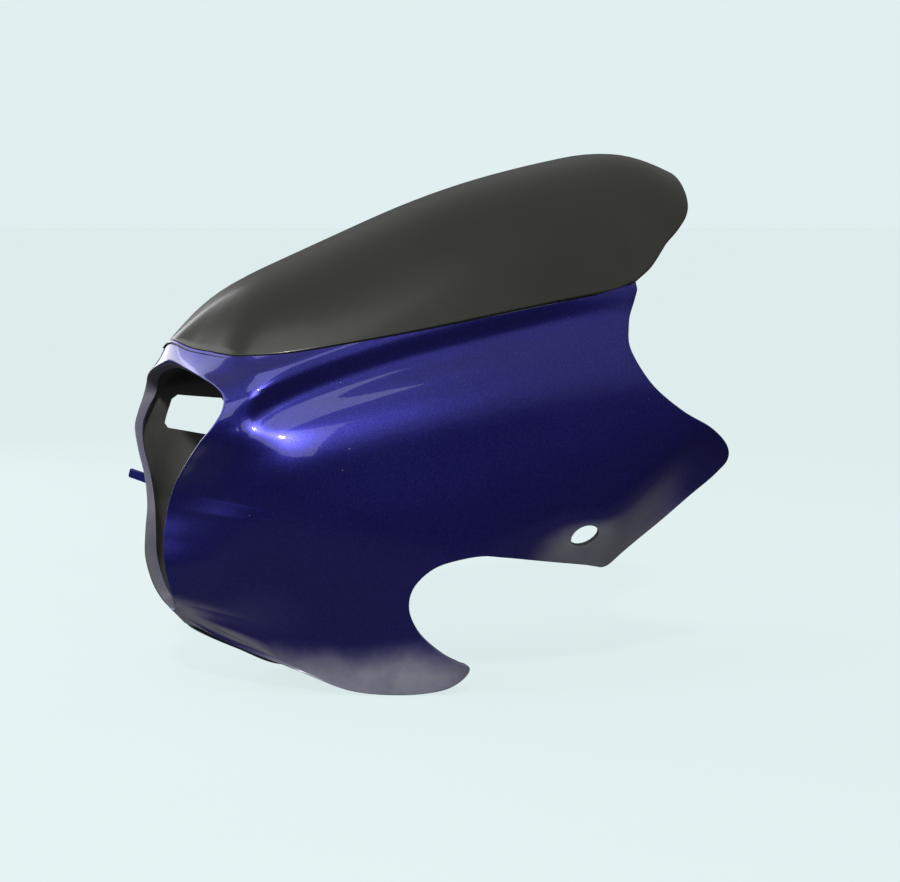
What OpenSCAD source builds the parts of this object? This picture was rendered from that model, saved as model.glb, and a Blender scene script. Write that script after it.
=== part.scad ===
// Motorcycle headlight visor: one painted moulding around the headlamp, with a
// separate smoked windscreen seated in a rebate along its upper edge.
// +X points forward, +Y to the left side of the vehicle, +Z up. The X-Z plane
// is the plane of symmetry. The origin lies on it, midway along the visor, at
// the height where the headlamp opening starts to narrow.

/* [Wall] */
// Wall thickness of the painted moulding
wall_t = 2.6; // [2.2:0.1:2.8]
// Thickness of the smoked windscreen
screen_t = 3; // [2.6:0.2:3.4]
// Clearance between the windscreen and the moulding
fit_gap = 0.3; // [0.2:0.1:0.4]

/* [Styling] */
// Depth of the groove that runs back from the corner of the headlamp opening
groove_depth = 6; // [3:0.5:7]
// Height of the rounded brow above the groove
brow_height = 4; // [2:0.5:5]
// Width of the ledge that carries the windscreen
ledge_w = 14; // [12:1:15]

/* [Fixings] */
// Diameter of the side fixing holes in the wings
fix_hole_d = 20; // [12:1:20]
// Shank diameter of the windscreen screws
screw_d = 2.9; // [2.5:0.1:3]
// Head diameter of the windscreen screws
screw_head_d = 6.5; // [5.5:0.5:7]
// Outer diameter of the washers under the screw heads
washer_d = 12; // [10:1:13]

/* [Side window] */
// Height of the access window in the right cheek, at its front edge
window_h = 24; // [18:1:26]

/* [Quality] */
// Mesh steps between two stations of the outline
steps = 2; // [1:1:2]

/* [Hidden] */

// Rim of the headlamp opening, left half, from its top centre to its bottom
rim = [
    [190, 0, 57], [189, 30, 54], [187, 55, 50], [184, 74, 45], [182, 84, 38],
    [184, 86, 29], [189, 82, 19], [194, 73, 9], [197, 55, -5], [199, 34, -22],
    [201, 22, -40], [203, 20, -58], [203, 21, -76], [199, 19, -93],
    [194, 15, -104], [191, 8, -109], [190, 0, -111]];
// Along the rim: width of the flat band outside it, how far the band stands
// proud of the cheek, and how deep the inner lip is
band_w = [12, 12, 13, 16, 18, 19, 19, 18, 14, 11, 8, 6, 6, 6, 6, 6, 6];
band_h = [0, 0, 1, 3, 5, 6, 6, 5, 4, 2, 1, 0, 0, 0, 0, 0, 0];
lip_w = [7, 7, 8, 9, 9, 9, 8, 7, 5, 5, 6, 8, 9, 9, 8, 7, 7];

// Outline of the left half, from the nose along the windscreen, down the rear
// edge, round the wing, the notch and the chin. The fourth number says which
// point of the rim the skin is drawn from. Y only counts near the centre
// plane; elsewhere the body's own width is used.
edge = [
    [189, 0, 73, 0], [185, 26, 69, 0.8], [178, 46, 67, 1.4], [165, 70, 65, 2],
    [136, 88, 67, 2.5], [97, 98, 73, 2.9], [49, 102, 81, 3.3], [0, 108, 90, 3.6],
    [-49, 113, 99, 3.9], [-89, 115, 106, 4.2], [-105, 115, 111, 4.5],
    // rear edge
    [-103, 114, 100, 4.8], [-97, 119, 85, 5.1], [-94, 129, 67, 5.4],
    [-106, 134, 44, 5.8], [-129, 137, 25, 6.2],
    // wing
    [-153, 134, 12, 6.6], [-168, 127, 0, 6.9], [-171, 122, -10, 7.1],
    [-163, 121, -19, 7.4], [-146, 115, -34, 7.8], [-126, 102, -55, 8.3],
    [-105, 92, -75, 8.8], [-94, 90, -84, 9.2], [-80, 95, -82, 9.4],
    [-52, 106, -78, 9.8], [-20, 122, -73, 10.3], [8, 127, -69, 10.8],
    // notch
    [29, 125, -71, 11.3], [47, 120, -77, 11.8], [59, 114, -90, 12.3],
    [60, 109, -106, 12.8], [51, 106, -123, 13.2], [35, 105, -137, 13.5],
    [21, 105, -144, 13.7], [12, 101, -148, 13.9],
    // chin
    [16, 97, -155, 14.1], [31, 95, -162, 14.4], [57, 88, -165, 14.7],
    [89, 76, -162, 15], [120, 63, -149, 15.2], [146, 46, -138, 15.4],
    [165, 28, -129, 15.6], [175, 14, -123, 15.8], [180, 0, -121, 16]];
LAST = len(edge) - 1;

// Half-width of the body on a 40 mm net: each row runs from X = 220 back to
// X = -180, and the rows go from Z = -180 up to Z = 140
body_net = [
    [-60, -8, 36, 64, 84, 98, 106, 108, 106, 102, 98],
    [-40, 14, 54, 80, 98, 110, 116, 116, 112, 108, 104],
    [0, 50, 82, 102, 114, 122, 126, 127, 126, 124, 122],
    [24, 78, 105, 118, 125, 129, 133, 134, 133, 132, 131],
    [48, 94, 114, 123, 129, 133, 136, 138, 138, 137, 136],
    [58, 93, 106, 115, 124, 131, 135, 138, 140, 141, 141],
    [64, 88, 97, 104, 111, 118, 123, 127, 130, 133, 135],
    [20, 44, 63, 79, 91, 100, 107, 112, 116, 119, 121],
    [-30, 0, 24, 44, 62, 75, 85, 93, 99, 104, 108]];

// Height of the groove line against X
groove_line = [[-200, 100], [-130, 95], [-85, 90], [-45, 85], [-2, 76],
    [68, 60], [113, 47], [135, 40], [172, 25], [200, 10], [240, -10]];

// Windscreen every 40 mm from X = 220 back to X = -180: height of the crown,
// half-width, and height of the side edge
crown_z = [50, 83.5, 111.5, 128.5, 145.6, 162.6, 176.8, 188, 196.5, 204, 184];
screen_w = [30, 76, 92, 99, 104, 108, 110, 112, 114, 115, 115];
screen_z = [66, 66, 68, 73, 80, 88, 95, 103, 112, 118, 122];
// Free rear outline of the windscreen in plan, from the left corner to the centre
screen_rear = [[-120, 109.5], [-134, 103], [-146, 97], [-156, 89],
    [-162, 78], [-166, 60], [-169, 38], [-171, 18], [-172, 0]];

// ---- small helpers -------------------------------------------------------
function clamp(x, a, b) = min(max(x, a), b);
function unit(v) = v / max(norm(v), 1e-9);
function smooth(x, a, b) = let (t = clamp((x - a) / (b - a), 0, 1)) t * t * (3 - 2 * t);
function mir(p) = [p[0], -p[1], p[2]];
function flip(p) = is_list(p) ? mir(p) : p;
// cubic B-spline weights
function bw(u) = [pow(1 - u, 3), 3 * u * u * u - 6 * u * u + 4,
    -3 * u * u * u + 3 * u * u + 3 * u + 1, u * u * u] / 6;
// value number i of a list, carried on straight past its ends
function at(t, i) = i < 0 ? 2 * t[0] - t[1]
    : i >= len(t) ? 2 * t[len(t) - 1] - t[len(t) - 2] : t[i];
function bspline(t, x) = let (y = clamp(x, 0, len(t) - 1.001), i = floor(y), w = bw(y - i))
    w[0] * at(t, i - 1) + w[1] * at(t, i) + w[2] * at(t, i + 1) + w[3] * at(t, i + 2);
// smooth curve through the points of a list; sym mirrors it past its ends
function ends(t, i, sym) = i < 0 ? (sym ? flip(t[1]) : 2 * t[0] - t[1])
    : i >= len(t) ? (sym ? flip(t[len(t) - 2]) : 2 * t[len(t) - 1] - t[len(t) - 2]) : t[i];
function through(t, x, sym = false) =
    let (i = clamp(floor(x), 0, len(t) - 2), u = x - i,
        a = ends(t, i - 1, sym), b = t[i], c = t[i + 1], d = ends(t, i + 2, sym))
    0.5 * (2 * b + (c - a) * u + (2 * a - 5 * b + 4 * c - d) * u * u
        + (3 * b - a - 3 * c + d) * u * u * u);

edge_p = [for (e = edge) [e[0], e[1], e[2]]];
edge_r = [for (e = edge) e[3]];

// ---- body surface --------------------------------------------------------
function net_half(x, z) =
    let (gx = clamp((220 - x) / 40, 0, 9.999), gz = clamp((z + 180) / 40, 0, 7.999),
        i = floor(gx), j = floor(gz), wx = bw(gx - i), wz = bw(gz - j),
        rows = [for (b = [-1:2]) let (row = at(body_net, j + b))
            wx[0] * at(row, i - 1) + wx[1] * at(row, i) + wx[2] * at(row, i + 1)
            + wx[3] * at(row, i + 2)])
    wz * rows;
function groove_z(x) = (lookup(x - 24, groove_line) + 2 * lookup(x - 12, groove_line)
    + 3 * lookup(x, groove_line) + 2 * lookup(x + 12, groove_line)
    + lookup(x + 24, groove_line)) / 9;
function styling(x, z) = let (q = z - groove_z(x), f = 1 - 0.6 * smooth(-x, 10, 110))
    (1 - smooth(x, 150, 192)) * (-groove_depth * f * exp(-pow((q + 2) / 12, 2))
        + brow_height * f * exp(-pow((q - 18) / 11, 2)) + 4 * exp(-pow((q + 38) / 24, 2)));
// the lower edge of the wing turns under
function wing_d(x, z) =
    let (a = (x + 92) * 0.712 + (z + 83) * 0.702,
        b = (z + 83) - 0.12 * (x + 92) + 40 * smooth(x, -60, 60))
    0.5 * (a + b - sqrt((a - b) * (a - b) + 100));
function turn_under(x, z) = let (q = 31 - wing_d(x, z))
    0.52 * (q + sqrt(q * q + 90)) * (1 - 0.6 * smooth(-x, 100, 165)) * (1 - smooth(x, -95, 35));
function half_w(x, z) = net_half(x, z) + styling(x, z) - turn_under(x, z);
// outward normal of the left side at (x, z)
function side_n(x, z) = let (h = 1)
    unit([-(half_w(x + h, z) - half_w(x - h, z)) / (2 * h), 1,
        -(half_w(x, z + h) - half_w(x, z - h)) / (2 * h)]);

// ---- windscreen surface --------------------------------------------------
function glass_z(x, y) = let (g = (220 - x) / 40, c = bspline(crown_z, g))
    c - (c - bspline(screen_z, g)) * pow(abs(y / bspline(screen_w, g)), 2.7);
function glass_n(x, y) = let (h = 0.5)
    unit([-(glass_z(x + h, y) - glass_z(x - h, y)) / (2 * h),
        -(glass_z(x, y + h) - glass_z(x, y - h)) / (2 * h), 1]);

// ---- one line of the skin, from the rim to the outline -------------------
// [rim point, edge point, band width, band height, lip width, length,
//  centre weight, rim correction, edge correction, lip direction, station]
function col(j) =
    let (e = through(edge_p, j, true), r = clamp(through(edge_r, j), 0, 16),
        p = through(rim, r, true), l = norm([e[0] - p[0], e[2] - p[2]]),
        wc = max(1 - smooth(j, 1.5, 5), smooth(j, LAST - 6, LAST - 2)),
        cr = p[1] - half_w(p[0], p[2]),
        ce = (e[1] - half_w(e[0], e[2]))
            * max(1 - smooth(j, 1.5, 5.5), smooth(j, LAST - 6, LAST - 2.5)),
        t = through(rim, min(r + 0.02, 16), true) - through(rim, max(r - 0.02, 0), true),
        tn = unit([0, t[1], t[2]]))
    [p, [e[0], half_w(e[0], e[2]) + ce, e[2]], min(through(band_w, r), 0.7 * l),
        through(band_h, r), through(lip_w, r), l, wc, cr, ce,
        unit([-0.9, 0.45 * tn[2], -0.45 * tn[1]]), j];
// point of line c at distance x from the rim, measured in side view
function on(c, x) =
    let (q = clamp(x / c[5], 0, 1), X = c[0][0] + (c[1][0] - c[0][0]) * q,
        Z = c[0][2] + (c[1][2] - c[0][2]) * q,
        sg = q * q * (3 - 2 * q), fr = exp(-pow(x / max(20, 0.08 * c[5]), 2)),
        eb = c[3] * (x <= c[2] ? x / c[2] : exp(-(x - c[2]) / 30)),
        cc = c[7] * ((1 - c[6]) * fr + c[6] * (1 - q)) + c[8] * ((1 - c[6]) * sg + c[6] * q))
    [X, half_w(X, Z) + cc + eb * (1 - c[6]), Z];
function lip(c, x) = c[0] + c[9] * x;
function rim_round(c, k) = let (a = min(2.2, 0.35 * c[4]), b = min(2.2, 0.35 * c[2]))
    (1 - k) * (1 - k) * lip(c, a) + 2 * k * (1 - k) * c[0] + k * k * on(c, b);
function band_pt(c, k) = let (a = min(2.2, 0.35 * c[2]), b = c[2] - min(4, 0.3 * c[2]))
    on(c, a + (b - a) * k);
function band_edge(c, k) = let (a = min(4, 0.3 * c[2]), b = min(6, 0.3 * (c[5] - c[2])))
    (1 - k) * (1 - k) * on(c, c[2] - a) + 2 * k * (1 - k) * on(c, c[2])
        + k * k * on(c, c[2] + b);
function cheek(c, k) = let (a = c[2] + min(6, 0.3 * (c[5] - c[2])))
    on(c, a + (c[5] - a) * k);
// plan direction pointing inwards from the outline
function plan_in(c) = let (j = c[10],
        t = through(edge_p, min(j + 0.02, LAST), true) - through(edge_p, max(j - 0.02, 0), true),
        n = unit([t[0], t[1], 0])) [-n[1], n[0], 0];
// k = 1, 2, 3: foot of the rebate, middle and end of the ledge; away from
// the windscreen the same rows round off the edge of the wall
function ledge(c, k) =
    let (j = c[10], w = 1 - smooth(j, 9.85, 10.5), o = c[1],
        d = [0.2, ledge_w / 2, ledge_w][k - 1], q = o + plan_in(c) * d,
        lift = o[2] - glass_z(o[0], o[1]),
        g = [q[0], q[1], glass_z(q[0], q[1]) + lift * (1 - d / 40) - 0.2],
        s = g - glass_n(g[0], g[1]) * (screen_t + fit_gap),
        t = through(edge_p, min(j + 0.02, LAST), true) - through(edge_p, max(j - 0.02, 0), true),
        sa = unit(on(c, c[5]) - on(c, max(c[5] - 3, 0.5 * c[5]))),
        n0 = unit(cross(sa, unit(t))), wb = smooth(j, LAST - 5, LAST - 2.5),
        sn = unit(side_n(o[0], o[2]) * (1 - wb) + (n0[1] < 0 ? -n0 : n0) * wb),
        so = unit(unit(cross(sn, unit(t))) * (1 - wb) + sa * wb),
        a = [0.35, 0.6, 0.7][k - 1], b = [0.25, 0.7, 1.3][k - 1])
    s * w + (o + so * a - sn * b) * (1 - w);
CHEEK = [0, 0.17, 0.34, 0.51, 0.68, 0.86, 1];
function line(c) = concat([lip(c, c[4]), lip(c, 0.55 * c[4]), rim_round(c, 0.5),
    band_pt(c, 0.6), band_edge(c, 0.5)], [for (k = CHEEK) cheek(c, k)],
    [ledge(c, 1), ledge(c, 2), ledge(c, 3)]);

// ---- closed ring of lines: the outer skin and the skin inside it ---------
half_cols = [for (i = [0 : steps * LAST]) col(i / steps)];
half_lines = [for (c = half_cols) line(c)];
nh = len(half_lines);
lines = concat(half_lines, [for (i = [nh - 2 : -1 : 1]) [for (p = half_lines[i]) mir(p)]]);
nc = len(lines);
nr = len(lines[0]);
// inward normal of point r on line i; on the sides it follows the body surface
function skin_n(i, r) =
    let (a = lines[i][max(r - 1, 0)], b = lines[i][min(r + 1, nr - 1)],
        c = lines[(i + nc - 1) % nc][r], d = lines[(i + 1) % nc][r],
        h = half_cols[min(i, nc - i)], p = lines[i][r], s = side_n(p[0], p[2]),
        w = r < 5 ? 0 : (r < 7 ? 0.5 : 1)
            * (1 - max(h[6], r > 4 + len(CHEEK) ? 1 - smooth(h[10], 9.85, 10.5) : 0)))
    unit(unit(cross(b - a, d - c)) * (1 - w) - [s[0], i < nh ? s[1] : -s[1], s[2]] * w);
function quad(a, b, c, d, m = false) = m ? [[a, b, d], [b, c, d]] : [[a, b, c], [a, c, d]];
// two faces on each cell, wound so that the normals point out of the wall
ring_pts = concat([for (i = [0 : nc - 1]) for (r = [0 : nr - 1]) lines[i][r]],
    [for (i = [0 : nc - 1]) for (r = [0 : nr - 1]) lines[i][r] + skin_n(i, r) * wall_t]);
ring_faces = let (m = nc * nr)
    [for (i = [0 : nc - 1]) let (k = (i + 1) % nc)
        for (f = concat(
            [for (r = [0 : nr - 2]) for (t = quad(i * nr + r, i * nr + r + 1,
                k * nr + r + 1, k * nr + r, i >= nh - 1)) t],
            [for (r = [0 : nr - 2]) for (t = quad(m + i * nr + r, m + k * nr + r,
                m + k * nr + r + 1, m + i * nr + r + 1, i >= nh - 1)) t],
            quad(i * nr, k * nr, m + k * nr, m + i * nr),
            quad(i * nr + nr - 1, m + i * nr + nr - 1, m + k * nr + nr - 1, k * nr + nr - 1))) f];

// ---- windscreen mesh -----------------------------------------------------
side_pts = [for (i = [0 : 2 * steps * 5]) col(i / steps)[1]];
corner = side_pts[len(side_pts) - 1];
corner_lift = corner[2] - glass_z(corner[0], corner[1]);
rear_ctl = concat([[corner[0], corner[1]]], screen_rear);
rear_pts = [for (i = [1 : 2 * (len(rear_ctl) - 1)]) let (p = through(rear_ctl, i / 2))
    [p[0], max(p[1], 0), glass_z(p[0], p[1]) + corner_lift * (1 - min(i / 4, 1))]];
half_out = concat(side_pts, rear_pts);
no = len(half_out);
outline = concat(half_out, [for (i = [no - 2 : -1 : 1]) mir(half_out[i])]);
nw = len(outline);
function inset(i, d) = let (t = outline[(i + 1) % nw] - outline[(i + nw - 1) % nw],
    n = unit([t[0], t[1], 0])) outline[i] + [-n[1], n[0], 0] * d;
LAM = [1, 0.94, 0.82, 0.66, 0.48, 0.3, 0.14];
function glass_pt(i, l) =
    let (p = inset(i, 0.3 + fit_gap), q = outline[i], lift = q[2] - glass_z(q[0], q[1]),
        c = clamp(p[0], -110, 120), x = c + (p[0] - c) * l, y = p[1] * l)
    [x, y, glass_z(x, y) + lift * pow(l, 4)];
glass_top = [for (l = LAM) for (i = [0 : nw - 1]) glass_pt(i, l)];
glass_pts = concat(glass_top, [for (p = glass_top) p - glass_n(p[0], p[1]) * screen_t]);
glass_faces = let (m = len(glass_top), nl = len(LAM), e = (nl - 1) * nw)
    concat(
        [for (a = [0 : nl - 2]) for (i = [0 : nw - 1]) let (k = (i + 1) % nw)
            for (t = quad(a * nw + i, (a + 1) * nw + i, (a + 1) * nw + k, a * nw + k)) t],
        [for (a = [0 : nl - 2]) for (i = [0 : nw - 1]) let (k = (i + 1) % nw)
            for (t = quad(m + a * nw + i, m + a * nw + k, m + (a + 1) * nw + k,
                m + (a + 1) * nw + i)) t],
        [for (i = [0 : nw - 1]) let (k = (i + 1) % nw)
            for (t = quad(i, k, m + k, m + i)) t],
        // caps along the crown
        [for (i = [0 : no - 2]) let (a = i, b = i + 1, c = (nw - i - 1) % nw, d = (nw - i) % nw)
            for (t = i == 0 ? [[a, c, b]] : i == no - 2 ? [[a, d, b]] : quad(a, d, c, b))
                [e + t[0], e + t[1], e + t[2]]],
        [for (i = [0 : no - 2]) let (a = i, b = i + 1, c = (nw - i - 1) % nw, d = (nw - i) % nw)
            for (t = i == 0 ? [[a, b, c]] : i == no - 2 ? [[a, b, d]] : quad(a, b, c, d))
                [m + e + t[0], m + e + t[1], m + e + t[2]]]);

// ---- windscreen fixings --------------------------------------------------
// stations of the outline at which a screw holds the windscreen
screw_at = [1.6, 5, 8.4];
function screw_seat(j) = let (c = col(j), q = c[1] + plan_in(c) * ledge_w / 2,
    lift = c[1][2] - glass_z(c[1][0], c[1][1]))
    [q[0], q[1], glass_z(q[0], q[1]) + lift * (1 - ledge_w / 80)];
// depths below the outer face of the windscreen, along its normal
boss_end = screen_t + fit_gap + wall_t - 0.2;
washer_top = screen_t + fit_gap + wall_t + 1;
washer_t = 1;
head_h = 2.2;

module along(p, n) {
    translate(p) rotate([0, acos(clamp(n[2], -1, 1)), atan2(n[1], n[0])]) children();
}
// children at each screw, with Z pointing out of the windscreen
module at_screws() {
    for (j = screw_at, s = [1, -1]) let (p = screw_seat(j), n = glass_n(p[0], p[1]))
        along([p[0], s * p[1], p[2]], [n[0], s * n[1], n[2]]) children();
}

// ---- sub-parts -----------------------------------------------------------
fix_x = -64;
fix_z = -59;
fix_p = [fix_x, half_w(fix_x, fix_z), fix_z];
fix_n = side_n(fix_x, fix_z);

module ring_body() {
    polyhedron(points = ring_pts, faces = ring_faces, convexity = 10);
}
module side_window() {
    // four-sided opening in the right cheek, with its corners broken
    z0 = 30 - window_h;
    translate([0, -60, 0]) rotate([90, 0, 0]) linear_extrude(height = 90)
        polygon([[160, z0 + 0.5], [163, z0 + 4], [158.5, 27], [154, 30], [116, 26],
            [112, 22], [112, z0 - 5], [116, z0 - 8]]);
}
module bracket_lug() {
    // short flat lug that stands out of the right cheek beside the opening
    translate([190.5, -45, -25.5]) rotate([0, 0, 37]) rotate([-14, 0, 0])
        translate([-1.6, -18, -3.1]) cube([3.2, 20, 6.2]);
}
module visor_shell() {
    color([0.13, 0.12, 0.5]) difference() {
        union() {
            ring_body();
            bracket_lug();
        }
        for (s = [1, -1])
            along([fix_p[0], s * fix_p[1], fix_p[2]], [fix_n[0], s * fix_n[1], fix_n[2]])
                translate([0, 0, -12]) cylinder(h = 24, d = fix_hole_d, $fn = 48);
        side_window();
        at_screws() translate([0, 0, -boss_end - 6])
            cylinder(h = 10, d = 8.4, $fn = 32);
    }
}
module windscreen() {
    color([0.16, 0.16, 0.13]) difference() {
        union() {
            polyhedron(points = glass_pts, faces = glass_faces, convexity = 6);
            at_screws() translate([0, 0, -boss_end])
                cylinder(h = boss_end - 1.6, d = 7.4, $fn = 32);
        }
        at_screws() translate([0, 0, -boss_end - 1])
            cylinder(h = boss_end - 0.4, d = screw_d + 0.1, $fn = 24);
    }
}
module windscreen_washers() {
    color([0.1, 0.1, 0.1]) at_screws() translate([0, 0, -washer_top - washer_t])
        difference() {
            cylinder(h = washer_t, d = washer_d, $fn = 36);
            translate([0, 0, -1]) cylinder(h = washer_t + 2, d = screw_d + 0.5, $fn = 24);
        }
}
module windscreen_screws() {
    color([0.55, 0.55, 0.57]) at_screws() {
        z = -washer_top - washer_t;
        difference() {
            union() {
                translate([0, 0, z - head_h]) cylinder(h = head_h * 0.55, d1 = screw_head_d - 1.6, d2 = screw_head_d, $fn = 32);
                translate([0, 0, z - head_h * 0.45]) cylinder(h = head_h * 0.45, d = screw_head_d, $fn = 32);
                translate([0, 0, z - 0.01]) cylinder(h = -z - 2, d = screw_d, $fn = 24);
            }
            for (a = [0, 90]) translate([0, 0, z - head_h + 0.6]) rotate([0, 0, a])
                cube([3.4, 0.9, 2.4], center = true);
        }
    }
}

visor_shell();
windscreen();
windscreen_screws();
windscreen_washers();
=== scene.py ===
import math
import bmesh
import bpy
import numpy as np
from mathutils import Matrix, Vector
from mathutils.bvhtree import BVHTree
from mathutils.kdtree import KDTree


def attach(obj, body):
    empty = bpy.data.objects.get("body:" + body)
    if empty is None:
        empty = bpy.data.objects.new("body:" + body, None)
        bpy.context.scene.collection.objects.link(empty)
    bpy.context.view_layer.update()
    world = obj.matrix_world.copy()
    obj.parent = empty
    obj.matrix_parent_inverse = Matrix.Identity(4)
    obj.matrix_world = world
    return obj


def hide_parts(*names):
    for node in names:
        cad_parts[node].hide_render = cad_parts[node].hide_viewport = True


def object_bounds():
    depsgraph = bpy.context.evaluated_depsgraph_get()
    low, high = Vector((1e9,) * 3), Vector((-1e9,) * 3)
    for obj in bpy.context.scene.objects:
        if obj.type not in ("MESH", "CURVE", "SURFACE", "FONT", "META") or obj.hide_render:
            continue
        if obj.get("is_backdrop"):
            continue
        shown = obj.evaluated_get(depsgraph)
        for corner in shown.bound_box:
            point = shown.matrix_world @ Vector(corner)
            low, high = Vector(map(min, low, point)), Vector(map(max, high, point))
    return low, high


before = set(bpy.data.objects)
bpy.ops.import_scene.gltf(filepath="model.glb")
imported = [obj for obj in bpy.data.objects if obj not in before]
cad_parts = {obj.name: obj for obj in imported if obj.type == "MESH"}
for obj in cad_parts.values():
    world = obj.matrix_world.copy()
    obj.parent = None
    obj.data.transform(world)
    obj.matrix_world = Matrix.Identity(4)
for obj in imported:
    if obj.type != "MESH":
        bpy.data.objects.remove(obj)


def box_now():
    lo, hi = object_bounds()
    return [[float(v) for v in lo], [float(v) for v in hi]]


for name in ("Cube", "Camera", "Light"):
    if name in bpy.data.objects:
        bpy.data.objects.remove(bpy.data.objects[name])

SIZE = {"cad": box_now()}

# ---------------------------------------------------------------------------
# Shape of the moulding: the same design points and functions as the part,
# in millimetres, drawn here with a fine mesh
# ---------------------------------------------------------------------------
RIM = [[190, 0, 57], [189, 30, 54], [187, 55, 50], [184, 74, 45], [182, 84, 38],
       [184, 86, 29], [189, 82, 19], [194, 73, 9], [197, 55, -5], [199, 34, -22],
       [201, 22, -40], [203, 20, -58], [203, 21, -76], [199, 19, -93],
       [194, 15, -104], [191, 8, -109], [190, 0, -111]]
BAND_W = [12, 12, 13, 16, 18, 19, 19, 18, 14, 11, 8, 6, 6, 6, 6, 6, 6]
BAND_H = [0, 0, 1, 3, 5, 6, 6, 5, 4, 2, 1, 0, 0, 0, 0, 0, 0]
LIP_W = [7, 7, 8, 9, 9, 9, 8, 7, 5, 5, 6, 8, 9, 9, 8, 7, 7]
EDGE = [[189, 0, 73, 0], [185, 26, 69, 0.8], [178, 46, 67, 1.4], [165, 70, 65, 2],
        [136, 88, 67, 2.5], [97, 98, 73, 2.9], [49, 102, 81, 3.3], [0, 108, 90, 3.6],
        [-49, 113, 99, 3.9], [-89, 115, 106, 4.2], [-105, 115, 111, 4.5],
        [-103, 114, 100, 4.8], [-97, 119, 85, 5.1], [-94, 129, 67, 5.4],
        [-106, 134, 44, 5.8], [-129, 137, 25, 6.2],
        [-153, 134, 12, 6.6], [-168, 127, 0, 6.9], [-171, 122, -10, 7.1],
        [-163, 121, -19, 7.4], [-146, 115, -34, 7.8], [-126, 102, -55, 8.3],
        [-105, 92, -75, 8.8], [-94, 90, -84, 9.2], [-80, 95, -82, 9.4],
        [-52, 106, -78, 9.8], [-20, 122, -73, 10.3], [8, 127, -69, 10.8],
        [29, 125, -71, 11.3], [47, 120, -77, 11.8], [59, 114, -90, 12.3],
        [60, 109, -106, 12.8], [51, 106, -123, 13.2], [35, 105, -137, 13.5],
        [21, 105, -144, 13.7], [12, 101, -148, 13.9],
        [16, 97, -155, 14.1], [31, 95, -162, 14.4], [57, 88, -165, 14.7],
        [89, 76, -162, 15], [120, 63, -149, 15.2], [146, 46, -138, 15.4],
        [165, 28, -129, 15.6], [175, 14, -123, 15.8], [180, 0, -121, 16]]
BODY_NET = [
    [-60, -8, 36, 64, 84, 98, 106, 108, 106, 102, 98],
    [-40, 14, 54, 80, 98, 110, 116, 116, 112, 108, 104],
    [0, 50, 82, 102, 114, 122, 126, 127, 126, 124, 122],
    [24, 78, 105, 118, 125, 129, 133, 134, 133, 132, 131],
    [48, 94, 114, 123, 129, 133, 136, 138, 138, 137, 136],
    [58, 93, 106, 115, 124, 131, 135, 138, 140, 141, 141],
    [64, 88, 97, 104, 111, 118, 123, 127, 130, 133, 135],
    [20, 44, 63, 79, 91, 100, 107, 112, 116, 119, 121],
    [-30, 0, 24, 44, 62, 75, 85, 93, 99, 104, 108]]
GROOVE = [[-200, 100], [-130, 95], [-85, 90], [-45, 85], [-2, 76], [68, 60],
          [113, 47], [135, 40], [172, 25], [200, 10], [240, -10]]
CROWN_Z = [50, 83.5, 111.5, 128.5, 145.6, 162.6, 176.8, 188, 196.5, 204, 184]
SCREEN_W = [30, 76, 92, 99, 104, 108, 110, 112, 114, 115, 115]
SCREEN_Z = [66, 66, 68, 73, 80, 88, 95, 103, 112, 118, 122]
SCREEN_REAR = [[-120, 109.5], [-134, 103], [-146, 97], [-156, 89], [-162, 78],
               [-166, 60], [-169, 38], [-171, 18], [-172, 0]]
WALL, SCREEN, GAP, LEDGE_W = 2.6, 3.0, 0.3, 14.0
GROOVE_DEPTH, BROW_HEIGHT = 6.0, 4.0
MIRROR = np.array([1, -1, 1.0])
LAST = len(EDGE) - 1


def unit(v):
    return v / np.maximum(np.linalg.norm(v, axis=-1, keepdims=True), 1e-9)


def smooth(x, a, b):
    t = np.clip((x - a) / (b - a), 0, 1)
    return t * t * (3 - 2 * t)


def spline_w(u):
    return np.array([(1 - u) ** 3, 3 * u ** 3 - 6 * u ** 2 + 4,
                     -3 * u ** 3 + 3 * u ** 2 + 3 * u + 1, u ** 3]) / 6


def bspline(tab, x):
    tab = np.asarray(tab, float)
    x = np.clip(np.asarray(x, float), 0, len(tab) - 1.001)
    i = np.floor(x).astype(int)
    ext = np.concatenate([[2 * tab[0] - tab[1]], tab, [2 * tab[-1] - tab[-2]]])
    w = spline_w(x - i)
    return sum(w[k] * ext[i + k] for k in range(4))


NET = np.zeros((11, 13))
NET[1:10, 1:12] = BODY_NET
NET[0, 1:12] = 2 * NET[1, 1:12] - NET[2, 1:12]
NET[10, 1:12] = 2 * NET[9, 1:12] - NET[8, 1:12]
NET[:, 0] = 2 * NET[:, 1] - NET[:, 2]
NET[:, 12] = 2 * NET[:, 11] - NET[:, 10]


def net_half(X, Z):
    gx, gz = np.clip((220 - X) / 40.0, 0, 9.999), np.clip((Z + 180) / 40.0, 0, 7.999)
    i, j = np.floor(gx).astype(int), np.floor(gz).astype(int)
    wx, wz = spline_w(gx - i), spline_w(gz - j)
    return sum(wx[a] * wz[b] * NET[j + b, i + a] for a in range(4) for b in range(4))


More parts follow.
